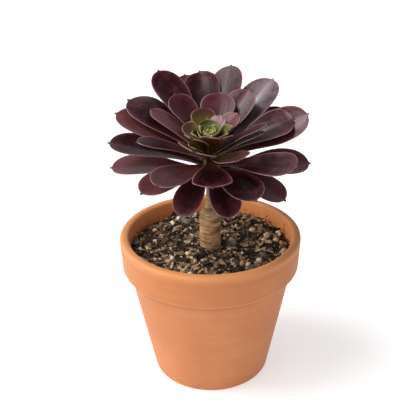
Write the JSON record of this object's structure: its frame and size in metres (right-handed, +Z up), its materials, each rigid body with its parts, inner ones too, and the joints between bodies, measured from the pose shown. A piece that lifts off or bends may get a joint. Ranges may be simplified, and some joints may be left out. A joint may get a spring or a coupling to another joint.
{
  "type": "potted aeonium",
  "caption": "Potted aeonium: a nodding rosette of dark purple spoon-shaped leaves with a green heart, on a bare corky stem in gritty mix, in a rolled-rim terracotta pot.",
  "frame": {"origin": "centre of the pot's foot, on the surface that it stands on", "axes": "+Z up along the pot's axis; the rosette nods towards -Y"},
  "size_m": [0.138, 0.13, 0.2174],
  "materials": {
    "terracotta": "matte",
    "potting_mix": "matte",
    "root": "matte",
    "stem": "matte",
    "dark_leaf": "satin",
    "young_leaf": "satin",
    "heart": "satin"
  },
  "bodies": {
    "root": {"pot": "terracotta", "potting_mix": "potting_mix", "roots": "root", "stem": "stem", "leaf_01": "dark_leaf", "leaf_02": "dark_leaf", "leaf_03": "dark_leaf", "leaf_04": "dark_leaf", "leaf_05": "dark_leaf", "leaf_06": "dark_leaf", "leaf_07": "dark_leaf", "leaf_08": "dark_leaf", "leaf_09": "dark_leaf", "leaf_10": "dark_leaf", "leaf_11": "dark_leaf", "leaf_12": "dark_leaf", "leaf_13": "dark_leaf", "leaf_14": "dark_leaf", "leaf_15": "dark_leaf", "leaf_16": "dark_leaf", "leaf_17": "dark_leaf", "leaf_18": "dark_leaf", "leaf_19": "dark_leaf", "leaf_20": "dark_leaf", "leaf_21": "dark_leaf", "leaf_22": "dark_leaf", "leaf_23": "dark_leaf", "leaf_24": "dark_leaf", "leaf_25": "dark_leaf", "leaf_26": "dark_leaf", "leaf_27": "young_leaf", "leaf_28": "young_leaf", "leaf_29": "young_leaf", "leaf_30": "young_leaf", "leaf_31": "young_leaf", "leaf_32": "young_leaf", "leaf_33": "young_leaf", "leaf_34": "young_leaf", "leaf_35": "young_leaf", "leaf_36": "young_leaf", "leaf_37": "young_leaf", "leaf_38": "young_leaf", "leaf_39": "young_leaf", "leaf_40": "young_leaf", "leaf_41": "young_leaf", "leaf_42": "young_leaf", "heart": "heart"}
  },
  "joints": []
}
